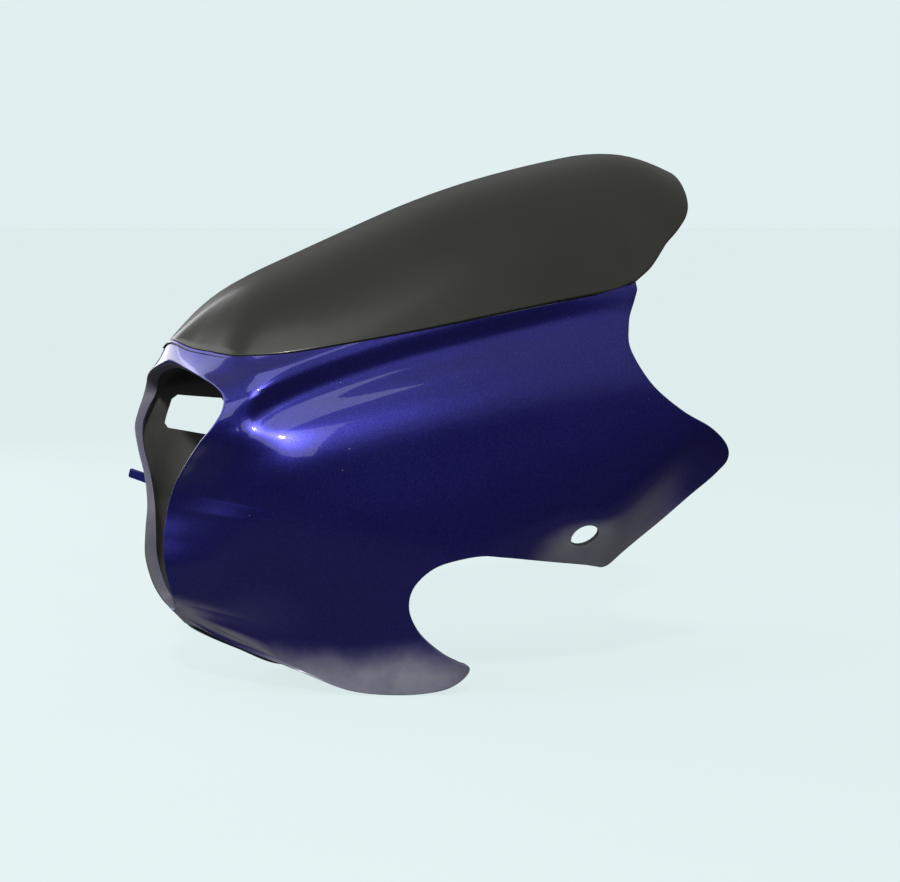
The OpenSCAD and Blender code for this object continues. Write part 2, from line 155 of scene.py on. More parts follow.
def through(tab, x, mirror=None):
    tab = np.asarray(tab, float)
    if tab.ndim == 1:
        tab = tab[:, None]
    n = len(tab)
    a, b = ((2 * tab[0] - tab[1], 2 * tab[-1] - tab[-2]) if mirror is None
            else (tab[1] * mirror, tab[-2] * mirror))
    ext = np.vstack([a[None], tab, b[None]])
    x = np.asarray(x, float)
    i = np.clip(np.floor(x).astype(int), 0, n - 2)
    u = (x - i)[..., None]
    p0, p1, p2, p3 = ext[i], ext[i + 1], ext[i + 2], ext[i + 3]
    return 0.5 * (2 * p1 + (p2 - p0) * u + (2 * p0 - 5 * p1 + 4 * p2 - p3) * u * u
                  + (3 * p1 - p0 - 3 * p2 + p3) * u ** 3)


def groove_z(X):
    g = np.asarray(GROOVE, float)
    return sum(w * np.interp(X + o, g[:, 0], g[:, 1])
               for o, w in ((-24, 1 / 9), (-12, 2 / 9), (0, 3 / 9), (12, 2 / 9), (24, 1 / 9)))


def styling(X, Z):
    q = Z - groove_z(X)
    f = 1 - 0.6 * smooth(-X, 10, 110)
    return (1 - smooth(X, 150, 192)) * (-GROOVE_DEPTH * f * np.exp(-((q + 2) / 12) ** 2)
                                        + BROW_HEIGHT * f * np.exp(-((q - 18) / 11) ** 2)
                                        + 4 * np.exp(-((q + 38) / 24) ** 2))


def turn_under(X, Z):
    a = (X + 92) * 0.712 + (Z + 83) * 0.702
    b = (Z + 83) - 0.12 * (X + 92) + 40 * smooth(X, -60, 60)
    q = 31 - 0.5 * (a + b - np.sqrt((a - b) ** 2 + 100))
    return (0.52 * (q + np.sqrt(q * q + 90)) * (1 - 0.6 * smooth(-X, 100, 165))
            * (1 - smooth(X, -95, 35)))


def half_w(X, Z):
    return net_half(X, Z) + styling(X, Z) - turn_under(X, Z)


def side_n(X, Z):
    fx = (half_w(X + 1, Z) - half_w(X - 1, Z)) / 2
    fz = (half_w(X, Z + 1) - half_w(X, Z - 1)) / 2
    return unit(np.stack([-fx, np.ones_like(fx), -fz], -1))


def glass_z(X, Y):
    g = (220 - X) / 40.0
    c = bspline(CROWN_Z, g)
    return c - (c - bspline(SCREEN_Z, g)) * np.abs(Y / bspline(SCREEN_W, g)) ** 2.7


def glass_n(X, Y):
    zx = glass_z(X + 0.5, Y) - glass_z(X - 0.5, Y)
    zy = glass_z(X, Y + 0.5) - glass_z(X, Y - 0.5)
    return unit(np.stack([-zx, -zy, np.ones_like(zx)], -1))


class Lines:
    """Lines of the skin, each from the rim of the opening to the outline."""

    def __init__(s, j):
        s.j = j = np.asarray(j, float)
        E = np.asarray(EDGE, float)
        s.o = through(E[:, :3], j, MIRROR)
        s.r = r = np.clip(through(E[:, 3], j)[..., 0], 0, 16)
        s.R = through(RIM, r, MIRROR)
        s.bw, s.bh, s.lw = (through(t, r)[..., 0] for t in (BAND_W, BAND_H, LIP_W))
        s.d = s.o - s.R
        s.L = np.hypot(s.d[:, 0], s.d[:, 2])
        s.bw = np.minimum(s.bw, 0.7 * s.L)
        s.wc = np.maximum(1 - smooth(j, 1.5, 5.0), smooth(j, LAST - 6, LAST - 2))
        s.cr = s.R[:, 1] - half_w(s.R[:, 0], s.R[:, 2])
        s.ce = ((s.o[:, 1] - half_w(s.o[:, 0], s.o[:, 2]))
                * np.maximum(1 - smooth(j, 1.5, 5.5), smooth(j, LAST - 6, LAST - 2.5)))
        s.o = s.o.copy()
        s.o[:, 1] = half_w(s.o[:, 0], s.o[:, 2]) + s.ce
        t = (through(RIM, np.clip(r + 0.02, 0, 16), MIRROR)
             - through(RIM, np.clip(r - 0.02, 0, 16), MIRROR))
        t[:, 0] = 0
        t = unit(t)
        s.lip = unit(np.array([-0.9, 0, 0]) + 0.45 * np.stack([0 * t[:, 0], t[:, 2], -t[:, 1]], -1))
        E3 = E[:, :3]
        s.t = (through(E3, np.clip(j + 0.02, 0, LAST), MIRROR)
               - through(E3, np.clip(j - 0.02, 0, LAST), MIRROR))
        p = s.t.copy()
        p[:, 2] = 0
        p = unit(p)
        s.plan_in = np.stack([-p[:, 1], p[:, 0], 0 * p[:, 0]], -1)

    def on(s, x):
        q = np.clip(x / s.L, 0, 1)
        X, Z = s.R[:, 0] + s.d[:, 0] * q, s.R[:, 2] + s.d[:, 2] * q
        sg, fr = q * q * (3 - 2 * q), np.exp(-(x / np.maximum(20, 0.08 * s.L)) ** 2)
        band = s.bh * np.where(x <= s.bw, x / s.bw, np.exp(-np.maximum(x - s.bw, 0) / 30.0))
        fix = (s.cr * ((1 - s.wc) * fr + s.wc * (1 - q))
               + s.ce * ((1 - s.wc) * sg + s.wc * q))
        return np.stack([X, half_w(X, Z) + fix + band * (1 - s.wc), Z], -1)

    def row(s, kind, k):
        if kind == "lip":
            return s.R + s.lip * (s.lw * k)[:, None]
        if kind == "rim":
            a, c = np.minimum(2.2, 0.35 * s.lw), np.minimum(2.2, 0.35 * s.bw)
            return ((1 - k) ** 2 * (s.R + s.lip * a[:, None]) + 2 * k * (1 - k) * s.R
                    + k * k * s.on(c))
        if kind == "band":
            c, e = np.minimum(2.2, 0.35 * s.bw), s.bw - np.minimum(4, 0.3 * s.bw)
            return s.on(c + (e - c) * k)
        m2 = np.minimum(6, 0.3 * (s.L - s.bw))
        if kind == "step":
            m = np.minimum(4, 0.3 * s.bw)
            return ((1 - k) ** 2 * s.on(s.bw - m) + 2 * k * (1 - k) * s.on(s.bw)
                    + k * k * s.on(s.bw + m2))
        if kind == "cheek":
            a = s.bw + m2
            return s.on(a + (s.L - a) * k)
        if kind == "skin":          # the cheek again, but ending 0.6 mm short
            a = s.bw + m2
            return s.on(a + (s.L - 0.6 - a) * k)
        if kind == "corner":
            foot = s.row("wall", 1)
            b = s.o + unit(foot - s.o) * 0.5
            return (1 - k) ** 2 * s.on(s.L - 0.6) + 2 * k * (1 - k) * s.o + k * k * b
        # ledge under the windscreen, or the rounded edge of the wall elsewhere
        w = (1 - smooth(s.j, 9.85, 10.5))[:, None]
        d = float(np.interp(k, [1, 2, 3], [0.2, LEDGE_W / 2, LEDGE_W]))
        q = s.o + s.plan_in * d
        q[:, 2] = glass_z(q[:, 0], q[:, 1]) + (s.o[:, 2] - glass_z(s.o[:, 0], s.o[:, 1])) * (1 - d / 40) - 0.2
        ledge = q - glass_n(q[:, 0], q[:, 1]) * (SCREEN + GAP)
        sa = unit(s.on(s.L) - s.on(np.maximum(s.L - 3, 0.5 * s.L)))
        n0 = unit(np.cross(sa, unit(s.t)))
        n0 = np.where(n0[:, 1:2] < 0, -n0, n0)
        wb = smooth(s.j, LAST - 5, LAST - 2.5)[:, None]
        sn = unit(side_n(s.o[:, 0], s.o[:, 2]) * (1 - wb) + n0 * wb)
        so = unit(unit(np.cross(sn, unit(s.t))) * (1 - wb) + sa * wb)
        a, b = np.interp(k, [1, 2, 3], [0.35, 0.6, 0.7]), np.interp(k, [1, 2, 3], [0.25, 0.7, 1.3])
        return ledge * w + (s.o + so * a - sn * b) * (1 - w)


def ring(rows):
    rows = np.asarray(rows)
    return np.concatenate([rows, rows[:, 1:-1][:, ::-1] * MIRROR], 1)


OUTER = ([("lip", k) for k in (1, .75, .5)] + [("rim", k) for k in (0, .17, .33, .5, .67, .83, 1)]
         + [("band", k) for k in (.25, .5, .75, 1)] + [("step", k) for k in (.2, .4, .6, .8)]
         + [("skin", k) for k in np.linspace(0, 1, 44)] + [("corner", k) for k in (.3, .6, 1)]
         + [("wall", k) for k in (1, 1.5, 2, 2.5, 3)])
INNER = ([("lip", 1), ("lip", .55), ("rim", .5), ("band", .6), ("step", .5)]
         + [("cheek", k) for k in (0, .065, .13, .2, .27, .34, .41, .48, .55, .615, .68, .74,
                                   .8, .86, .92, 1)] + [("wall", 1), ("wall", 2), ("wall", 3)])


def shell_grids(per_station):
    L = Lines(np.linspace(0, LAST, LAST * per_station + 1))
    outer = ring([L.row(*r) for r in OUTER])
    half = np.array([L.row(*r) for r in INNER])
    full = ring(half)
    ds = np.empty_like(full)
    ds[1:-1] = full[2:] - full[:-2]
    ds[0], ds[-1] = full[1] - full[0], full[-1] - full[-2]
    dt = np.roll(full, -1, 1) - np.roll(full, 1, 1)
    N = unit(np.cross(dt, ds))[:, :half.shape[1]]
    for i, (kind, k) in enumerate(INNER):
        if kind in ("cheek", "wall"):
            c = L.wc if kind == "cheek" else np.maximum(L.wc, 1 - smooth(L.j, 9.85, 10.5))
            w = (1 - np.clip(c, 0, 1)) * (0.5 if kind == "cheek" and k < 0.15 else 1)
            N[i] = unit(side_n(half[i, :, 0], half[i, :, 2]) * w[:, None] + N[i] * (1 - w[:, None]))
    N = np.concatenate([N, N[:, 1:-1][:, ::-1] * MIRROR], 1)
    return L, outer, full - N * WALL


# ---------------------------------------------------------------------------
# Mesh helpers
# ---------------------------------------------------------------------------
def add_mesh(name, verts, faces, mats=(), index=None):
    me = bpy.data.meshes.new(name)
    me.from_pydata((np.asarray(verts) / 1000.0).tolist(), [], faces)
    for m in mats:
        me.materials.append(m)
    if index is not None:
        me.polygons.foreach_set("material_index", np.asarray(index, np.int32))
    me.update()
    ob = bpy.data.objects.new(name, me)
    bpy.context.scene.collection.objects.link(ob)
    return ob


def grid_faces(rows, cols, start=0, turn=False):
    out = []
    for i in range(rows - 1):
        for k in range(cols):
            n = (k + 1) % cols
            f = (start + i * cols + k, start + (i + 1) * cols + k,
                 start + (i + 1) * cols + n, start + i * cols + n)
            out.append(f[::-1] if turn else f)
    return out


def rod(p, n, r, z0, z1, seg=48):
    """Closed cylinder about the line through p along n, from z0 to z1."""
    n = Vector(n).normalized()
    a = n.orthogonal().normalized()
    b = n.cross(a)
    V, F = [], []
    for z in (z0, z1):
        for i in range(seg):
            t = 2 * math.pi * i / seg
            q = Vector(p) + n * z + (a * math.cos(t) + b * math.sin(t)) * r
            V.append(tuple(q))
    F = [(i, (i + 1) % seg, seg + (i + 1) % seg, seg + i) for i in range(seg)]
    F += [tuple(range(seg))[::-1], tuple(range(seg, 2 * seg))]
    return V, F


def prism(poly, y0, y1):
    """Closed prism of an X-Z polygon between two values of Y."""
    m = len(poly)
    V = [(x, y0, z) for x, z in poly] + [(x, y1, z) for x, z in poly]
    F = [(i, (i + 1) % m, m + (i + 1) % m, m + i) for i in range(m)]
    F += [tuple(range(m))[::-1], tuple(range(m, 2 * m))]
    return V, F


def join_parts(parts):
    V, F = [], []
    for v, f in parts:
        b = len(V)
        V += [tuple(p) for p in v]
        F += [tuple(b + i for i in q) for q in f]
    return V, F


def boolean(ob, parts, how, mats, index):
    V, F = join_parts(parts)
    cut = add_mesh("cutter", V, F, mats, [index] * len(F))
    bm = bmesh.new()
    bm.from_mesh(cut.data)
    bmesh.ops.recalc_face_normals(bm, faces=bm.faces)
    bm.to_mesh(cut.data)
    bm.free()
    mod = ob.modifiers.new("cut", "BOOLEAN")
    mod.operation, mod.solver, mod.object = how, "EXACT", cut
    mod.use_self = False
    with bpy.context.temp_override(object=ob, active_object=ob):
        bpy.ops.object.modifier_apply(modifier=mod.name)
    bpy.data.objects.remove(cut)


def finish_mesh(ob, angle):
    bm = bmesh.new()
    bm.from_mesh(ob.data)
    bmesh.ops.remove_doubles(bm, verts=bm.verts, dist=2e-6)
    bmesh.ops.dissolve_degenerate(bm, edges=bm.edges, dist=2e-6)
    bmesh.ops.recalc_face_normals(bm, faces=bm.faces)
    loose = [v for v in bm.verts if not v.link_faces]
    bmesh.ops.delete(bm, geom=loose, context="VERTS")
    bm.to_mesh(ob.data)
    bm.free()
    ob.data.polygons.foreach_set("use_smooth", [True] * len(ob.data.polygons))
    ob.data.set_sharp_from_angle(angle=math.radians(angle))
    ob.data.update()


def near_attribute(ob, name, points, reach):
    """1 at the given points (mm), falling to 0 at the distance reach."""
    tree = KDTree(len(points))
    for i, p in enumerate(points):
        tree.insert(Vector(p) / 1000.0, i)
    tree.balance()
    at = ob.data.attributes.new(name, "FLOAT", "POINT")
    vals = [max(0.0, 1 - tree.find(v.co)[2] * 1000.0 / reach) for v in ob.data.vertices]
    at.data.foreach_set("value", vals)


# ---------------------------------------------------------------------------
# Materials
# ---------------------------------------------------------------------------
class Nodes:
    def __init__(s, name):
        s.mat = bpy.data.materials.new(name)
        s.mat.use_nodes = True
        s.t = s.mat.node_tree
        s.t.nodes.clear()
        s.out = s.t.nodes.new("ShaderNodeOutputMaterial")
        s.bsdf = s.t.nodes.new("ShaderNodeBsdfPrincipled")
        s.t.links.new(s.bsdf.outputs[0], s.out.inputs[0])
        s.pos = s.t.nodes.new("ShaderNodeTexCoord").outputs["Object"]

    def add(s, kind, ins=(), **props):
        n = s.t.nodes.new(kind)
        for k, v in props.items():
            setattr(n, k, v)
        for k, v in dict(ins).items():
            if hasattr(v, "is_output"):
                s.t.links.new(v, n.inputs[k])
            else:
                n.inputs[k].default_value = v
        return n

    def noise(s, scale, detail=3.0, rough=0.5, out="Fac"):
        return s.add("ShaderNodeTexNoise", {"Vector": s.pos, "Scale": scale, "Detail": detail,
                                            "Roughness": rough}).outputs[out]

    def ramp(s, fac, stops):
        n = s.add("ShaderNodeValToRGB", {"Fac": fac})
        e = n.color_ramp.elements
        e[0].position, e[0].color = stops[0][0], (*stops[0][1], 1)
        e[1].position, e[1].color = stops[-1][0], (*stops[-1][1], 1)
        for p, c in stops[1:-1]:
            x = e.new(p)
            x.color = (*c, 1)
        return n.outputs["Color"]

    def mix(s, fac, a, b, blend="MIX"):
        n = s.add("ShaderNodeMix", data_type="RGBA", blend_type=blend)
        for i, v in ((0, fac), (6, a), (7, b)):
            if hasattr(v, "is_output"):
                s.t.links.new(v, n.inputs[i])
            else:
                n.inputs[i].default_value = (*v, 1) if i and len(v) == 3 else v
        return n.outputs[2]

    def math(s, op, a, b=0.0, c=0.0):
        n = s.add("ShaderNodeMath", operation=op)
        for i, v in enumerate((a, b, c)):
            if hasattr(v, "is_output"):
                s.t.links.new(v, n.inputs[i])
            else:
                n.inputs[i].default_value = v
        return n.outputs[0]

    def bump(s, height, strength, distance, onto=None):
        ins = {"Height": height, "Strength": strength, "Distance": distance}
        if onto is not None:
            ins["Normal"] = onto
        return s.add("ShaderNodeBump", ins).outputs["Normal"]

    def set(s, **values):
        for k, v in values.items():
            sock = s.bsdf.inputs[k.replace("_", " ")]
            if hasattr(v, "is_output"):
                s.t.links.new(v, sock)
            else:
                sock.default_value = v
        return s.mat


def blue_paint():
    n = Nodes("blue_paint")
    # metallic flakes about a third of a millimetre across, each its own brightness
    flake = n.add("ShaderNodeTexVoronoi", {"Vector": n.pos, "Scale": 3000.0, "Randomness": 1.0})
    sep = n.add("ShaderNodeSeparateColor", {"Color": flake.outputs["Color"]})
    cloud = n.noise(14.0, 3.0)
    base = n.ramp(sep.outputs[0], [(0.0, (0.015, 0.014, 0.17)), (0.75, (0.024, 0.024, 0.29)),
                                   (1.0, (0.055, 0.058, 0.50))])
    deep = n.mix(n.math("MULTIPLY", cloud, 0.35), base, (0.016, 0.012, 0.2))
    # a few specks of dust and stone-chips
    dust = n.add("ShaderNodeTexVoronoi", {"Vector": n.pos, "Scale": 95.0, "Randomness": 1.0})
    speck = n.math("LESS_THAN", dust.outputs["Distance"], 0.045)
    keep = n.math("GREATER_THAN", n.noise(33.0, 1.0), 0.60)
    speck = n.math("MULTIPLY", speck, keep)
    colour = n.mix(n.math("MULTIPLY", speck, 0.7), deep, (0.55, 0.56, 0.66))
    # painted reflection of the pale floor: grey, less metallic colour where the skin turns under, and along
    # the foot of the chin
    face = n.add("ShaderNodeNewGeometry").outputs["Normal"]
    down = n.add("ShaderNodeSeparateXYZ", {"Vector": face}).outputs[2]
    under = n.add("ShaderNodeMapRange", {"Value": down, "From Min": -0.44, "From Max": -0.68},
                  interpolation_type="SMOOTHSTEP").outputs["Result"]
    tall = n.add("ShaderNodeSeparateXYZ", {"Vector": n.pos}).outputs[2]
    ragged = n.math("MULTIPLY_ADD", n.noise(30.0, 4.0), 0.02, tall)
    foot = n.add("ShaderNodeMapRange", {"Value": ragged, "From Min": -0.113, "From Max": -0.143},
                 interpolation_type="SMOOTHSTEP").outputs["Result"]
    reflection_patches = n.math("MULTIPLY_ADD", n.noise(55.0, 5.0, 0.6), 0.5, 0.45)
    painted_floor_reflection = n.math("MULTIPLY", n.math("MAXIMUM", under, foot), reflection_patches)
    # painted reflection: down-facing paint turns grey and loses its metal here
    colour = n.mix(painted_floor_reflection, colour, (0.40, 0.41, 0.43))
    metal = n.math("MULTIPLY_ADD", painted_floor_reflection, -0.82, 0.82)
    rough = n.math("MULTIPLY_ADD", n.noise(40.0, 4.0), 0.06, 0.27)
    flakes = n.bump(sep.outputs[1], 0.06, 0.0002)
    return n.set(Base_Color=colour, Metallic=metal, Roughness=rough, Normal=flakes,
                 Coat_Weight=1.0, Coat_Roughness=0.035, Coat_IOR=1.52,
                 Coat_Normal=n.bump(n.noise(170.0, 2.0), 0.03, 0.0006))


def raw_plastic():
    n = Nodes("raw_plastic")
    spray = n.add("ShaderNodeAttribute", attribute_name="spray").outputs["Fac"]
    grain = n.noise(900.0, 3.0, 0.6)
    cloud = n.noise(26.0, 4.0)
    dark = n.ramp(cloud, [(0.3, (0.095, 0.096, 0.092)), (0.7, (0.125, 0.126, 0.120))])
    # mist of blue paint that reached the inner side near its edges
    edge = n.math("ADD", spray, n.math("MULTIPLY_ADD", n.noise(420.0, 5.0, 0.7), 0.5, -0.25))
    mask = n.add("ShaderNodeMapRange", {"Value": edge, "From Min": 0.42, "From Max": 0.85,
                                        "To Min": 0.0, "To Max": 1.0}).outputs["Result"]
    colour = n.mix(mask, dark, (0.085, 0.085, 0.13))
    rough = n.math("MULTIPLY_ADD", grain, 0.18, 0.47)
    return n.set(Base_Color=colour, Roughness=rough, Normal=n.bump(grain, 0.25, 0.0004))


def smoked():
    n = Nodes("smoked_plastic")
    cloud = n.noise(9.0, 3.0)
    tint = n.ramp(cloud, [(0.25, (0.013, 0.014, 0.010)), (0.75, (0.019, 0.020, 0.015))])
    fine = n.add("ShaderNodeTexNoise", {"Vector": n.pos, "Scale": 1400.0, "Detail": 2.0})
    scratch_at = n.add("ShaderNodeMapping", {"Vector": n.pos, "Scale": (60.0, 900.0, 900.0),
                                             "Rotation": (0.0, 0.25, 0.1)})
    scratch = n.add("ShaderNodeTexNoise", {"Vector": scratch_at.outputs[0], "Scale": 1.0,
                                           "Detail": 3.0}).outputs["Fac"]
    rough = n.math("MULTIPLY_ADD", scratch, 0.12, 0.24)
    colour = n.mix(n.math("MULTIPLY", fine.outputs["Fac"], 0.25), tint, (0.035, 0.036, 0.029))
    return n.set(Base_Color=colour, Roughness=rough, Coat_Weight=0.25, Coat_Roughness=0.15,
                 Normal=n.bump(n.noise(60.0, 2.0), 0.02, 0.001))


def steel():
    n = Nodes("zinc_steel")
    c = n.ramp(n.noise(600.0, 4.0), [(0.3, (0.42, 0.42, 0.43)), (0.7, (0.62, 0.62, 0.60))])
    return n.set(Base_Color=c, Metallic=1.0,
                 Roughness=n.math("MULTIPLY_ADD", n.noise(900.0, 2.0), 0.2, 0.25),
                 Normal=n.bump(n.noise(1500.0, 2.0), 0.1, 0.0002))


def rubber():
    n = Nodes("black_rubber")
    c = n.ramp(n.noise(500.0, 3.0), [(0.3, (0.014, 0.014, 0.014)), (0.7, (0.03, 0.03, 0.029))])
    return n.set(Base_Color=c, Roughness=n.math("MULTIPLY_ADD", n.noise(700.0, 2.0), 0.15, 0.7),
                 Normal=n.bump(n.noise(1200.0, 2.0), 0.2, 0.0003))


def shaded_bare_edge():
    # bare unpainted edge, coloured much darker than the raw plastic inside: painted shade
    n = Nodes("shaded_bare_edge")
    grain = n.noise(700.0, 3.0)
    c = n.ramp(grain, [(0.3, (0.022, 0.022, 0.024)), (0.7, (0.045, 0.045, 0.048))])
    return n.set(Base_Color=c, Roughness=n.math("MULTIPLY_ADD", grain, 0.15, 0.5),
                 Normal=n.bump(grain, 0.2, 0.0003))


PAINT, RAW, SMOKED, STEEL, RUBBER = blue_paint(), raw_plastic(), smoked(), steel(), rubber()
SHADED_EDGE_MAT = shaded_bare_edge()

# ---------------------------------------------------------------------------
# The painted moulding
# ---------------------------------------------------------------------------
PER = 7
L, G, I = shell_grids(PER)
nr, nc, mr = len(G), G.shape[1], len(I)
verts = np.concatenate([G.reshape(-1, 3), I.reshape(-1, 3)])
base = nr * nc
faces = grid_faces(nr, nc) + grid_faces(mr, nc, base, True)
station = np.minimum(np.arange(nc), nc - np.arange(nc)) / PER
wall_row = len(OUTER) - 5
index = []
for i in range(nr - 1):
    for k in range(nc):
        # the cut edge of the wings and of the ledge shows the bare moulding, darkened with painted shade
        shaded_bare = i >= wall_row - 1 and station[k] < 24.5
        index.append(2 if shaded_bare else 1 if i < 5 else 0)
index += [1] * ((mr - 1) * nc)
for k in range(nc):
    n = (k + 1) % nc
    faces.append((k, n, base + n, base + k))
    index.append(1)
    a, b = (nr - 1) * nc, base + (mr - 1) * nc
    faces.append((a + k, b + k, b + n, a + n))
    index.append(2 if station[k] < 24.5 else 1)
shell = add_mesh("visor_shell_skin", verts, faces, (PAINT, RAW, SHADED_EDGE_MAT), index)


def at(v):
    return np.array([float(v)])


FIX = np.array([-64.0, float(half_w(at(-64), at(-59))[0]), -59.0])
FIX_N = side_n(at(-64), at(-59))[0]
SEATS = []
for j in (1.6, 5, 8.4):
    c = Lines([j])
    q = c.o[0] + c.plan_in[0] * LEDGE_W / 2
    lift = c.o[0, 2] - float(glass_z(c.o[:, 0], c.o[:, 1])[0])
    z = float(glass_z(at(q[0]), at(q[1]))[0]) + lift * (1 - LEDGE_W / 80)
    nn = glass_n(at(q[0]), at(q[1]))[0]
    for s in (1, -1):
        SEATS.append((np.array([q[0], s * q[1], z]), np.array([nn[0], s * nn[1], nn[2]])))

# short flat lug on the right cheek, with eased corners
lug = bmesh.new()
bmesh.ops.create_cube(lug, size=1.0)
bmesh.ops.scale(lug, vec=(3.2, 20, 6.2), verts=lug.verts)
bmesh.ops.translate(lug, vec=(0, -8, 0), verts=lug.verts)
bmesh.ops.bevel(lug, geom=list(lug.edges), offset=0.6, segments=3, affect="EDGES")
turn = (Matrix.Translation((190.5, -45, -25.5)) @ Matrix.Rotation(math.radians(37), 4, "Z")
        @ Matrix.Rotation(math.radians(-14), 4, "X"))
lug_part = ([tuple(turn @ v.co) for v in lug.verts],
            [tuple(v.index for v in f.verts) for f in lug.faces])
lug.free()
boolean(shell, [lug_part], "UNION", (PAINT, RAW, SHADED_EDGE_MAT), 0)

holes = [rod(FIX * [1, s, 1], FIX_N * [1, s, 1], 10.0, -12, 12, 96) for s in (1, -1)]
holes += [rod(p, n, 4.2, -SCREEN - GAP - WALL - 6, -0.4, 40) for p, n in SEATS]
holes.append(prism([(160, 6.5), (163, 10), (158.5, 27), (154, 30), (116, 26), (112, 22),
                    (112, 1), (116, -2)], -150, -60))
boolean(shell, holes, "DIFFERENCE", (PAINT, RAW, SHADED_EDGE_MAT), 2)
finish_mesh(shell, 38)
edge_points = list(G[0][::2]) + list(G[-1][::2]) + list(G[wall_row][::2])
near_attribute(shell, "spray", edge_points, 16.0)
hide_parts("visor_shell")
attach(shell, "root")

# ---------------------------------------------------------------------------
# The windscreen: a dome of even thickness with a rounded edge and six bosses
# ---------------------------------------------------------------------------
side = Lines(np.linspace(0, 10, 141)).o
corner = side[-1]
ctl = np.vstack([corner[None, :2], np.asarray(SCREEN_REAR, float)])
q = np.linspace(0, len(ctl) - 1, 109)[1:]
plan = through(ctl, q)
plan[:, 1] = np.maximum(plan[:, 1], 0)
lift0 = corner[2] - float(glass_z(corner[:1], corner[1:2])[0])
rear = np.column_stack([plan, glass_z(plan[:, 0], plan[:, 1]) + lift0 * (1 - np.clip(q / 2, 0, 1))])
rear[-1, 1] = 0
half = np.vstack([side, rear])
outline = np.vstack([half, (half[1:-1] * MIRROR)[::-1]])
t = np.roll(outline, -1, 0) - np.roll(outline, 1, 0)
t[:, 2] = 0
t = unit(t)
inward = np.stack([-t[:, 1], t[:, 0], 0 * t[:, 0]], -1)
lift = outline[:, 2] - glass_z(outline[:, 0], outline[:, 1])


def dome(inset, lam, depth):
    p = outline + inward * (0.3 + GAP + inset)
    cx = np.clip(p[:, 0], -110, 120)
    x, y = cx + (p[:, 0] - cx) * lam, p[:, 1] * lam
    out = np.stack([x, y, glass_z(x, y) + lift * lam ** 4], -1)
    return out - glass_n(x, y) * depth


LAM = [0.985, 0.96, 0.92, 0.87, 0.81, 0.74, 0.66, 0.57, 0.48, 0.39, 0.3, 0.21, 0.12, 0.05]
R0 = 0.8
rows = [dome(0, l, 0) for l in LAM[::-1]] + [dome(R0, 1, 0)]
rows += [dome(R0 * (1 - math.sin(a)), 1, R0 * (1 - math.cos(a))) for a in (0.4, 0.8, 1.2, math.pi / 2)]
rows += [dome(R0 * (1 - math.sin(a)), 1, SCREEN - R0 * (1 - math.cos(a)))
         for a in (math.pi / 2, 1.2, 0.8, 0.4)]
rows += [dome(R0, 1, SCREEN)] + [dome(0, l, SCREEN) for l in LAM]
rows = np.array(rows)
nw, no = len(outline), len(half)
faces = grid_faces(len(rows), nw)
for first, flip in ((0, False), ((len(rows) - 1) * nw, True)):
    for i in range(no - 1):
        a, b, c, d = i, i + 1, (nw - i - 1) % nw, (nw - i) % nw
        f = (a, c, b) if i == 0 else (a, d, b) if i == no - 2 else (a, d, c, b)
        f = tuple(first + v for v in f)
        faces.append(f[::-1] if flip else f)
screen = add_mesh("windscreen_dome", rows.reshape(-1, 3), faces, (SMOKED,))
finish_mesh(screen, 50)
END = SCREEN + GAP + WALL - 0.2
boolean(screen, [rod(p, n, 3.7, -END, -1.6, 40) for p, n in SEATS], "UNION", (SMOKED,), 0)
boolean(screen, [rod(p, n, screw_r, -END - 1, -1.4, 32) for screw_r in (1.5,) for p, n in SEATS],
        "DIFFERENCE", (SMOKED,), 0)
finish_mesh(screen, 50)
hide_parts("windscreen")
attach(screen, "root")

# ---------------------------------------------------------------------------
# Screws and washers keep their own solids
# ---------------------------------------------------------------------------
for name, mat in (("windscreen_screws", STEEL), ("windscreen_washers", RUBBER)):
    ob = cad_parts[name]
    ob.data.materials.clear()
    ob.data.materials.append(mat)

# ---------------------------------------------------------------------------
# Camera
# ---------------------------------------------------------------------------
YAW, TILT, DIST, PX = math.radians(22), math.radians(4), 2.5, 0.0007
BACK = Vector((math.cos(TILT) * math.sin(YAW), math.cos(TILT) * math.cos(YAW), math.sin(TILT)))
RIGHT = Vector((-math.cos(YAW), math.sin(YAW), 0))
UP = BACK.cross(RIGHT)
cam = bpy.data.cameras.new("camera")
cam_ob = bpy.data.objects.new("camera", cam)
bpy.context.scene.collection.objects.link(cam_ob)
cam.sensor_width = 36
cam.lens = 36 * (DIST / PX) / 900
cam.shift_x = (450 - 430) / 900
cam.shift_y = -(441 - 440) / 900
cam.clip_end = 200
eye = BACK * DIST
cam_ob.matrix_world = Matrix(((RIGHT.x, UP.x, BACK.x, eye.x), (RIGHT.y, UP.y, BACK.y, eye.y),
                              (RIGHT.z, UP.z, BACK.z, eye.z), (0, 0, 0, 1)))
bpy.context.scene.camera = cam_ob

# ---------------------------------------------------------------------------
# Floor, lights and surroundings
# ---------------------------------------------------------------------------
FLOOR_GLOW, FLOOR_LIT, FLOOR_FLAG = 0.89, 0.10, 0.04
low = SIZE["cad"][0][2] - 0.0004
bm = bmesh.new()
bmesh.ops.create_circle(bm, cap_ends=True, radius=30, segments=96)
me = bpy.data.meshes.new("floor")
bm.to_mesh(me)
bm.free()
floor = bpy.data.objects.new("floor", me)
floor.location = (0, 0, low)
bpy.context.scene.collection.objects.link(floor)
n = Nodes("pale_floor")
n.set(Base_Color=n.ramp(n.noise(3.0, 2.0), [(0.3, (0.105, 0.118, 0.12)), (0.7, (0.112, 0.125, 0.127))]),
      Roughness=0.9, Specular_IOR_Level=0.1)
glow = n.add("ShaderNodeEmission", {"Color": (0.753, 0.863, 0.871, 1), "Strength": FLOOR_GLOW})
seen = n.add("ShaderNodeAddShader", {0: n.bsdf.outputs[0], 1: glow.outputs[0]})
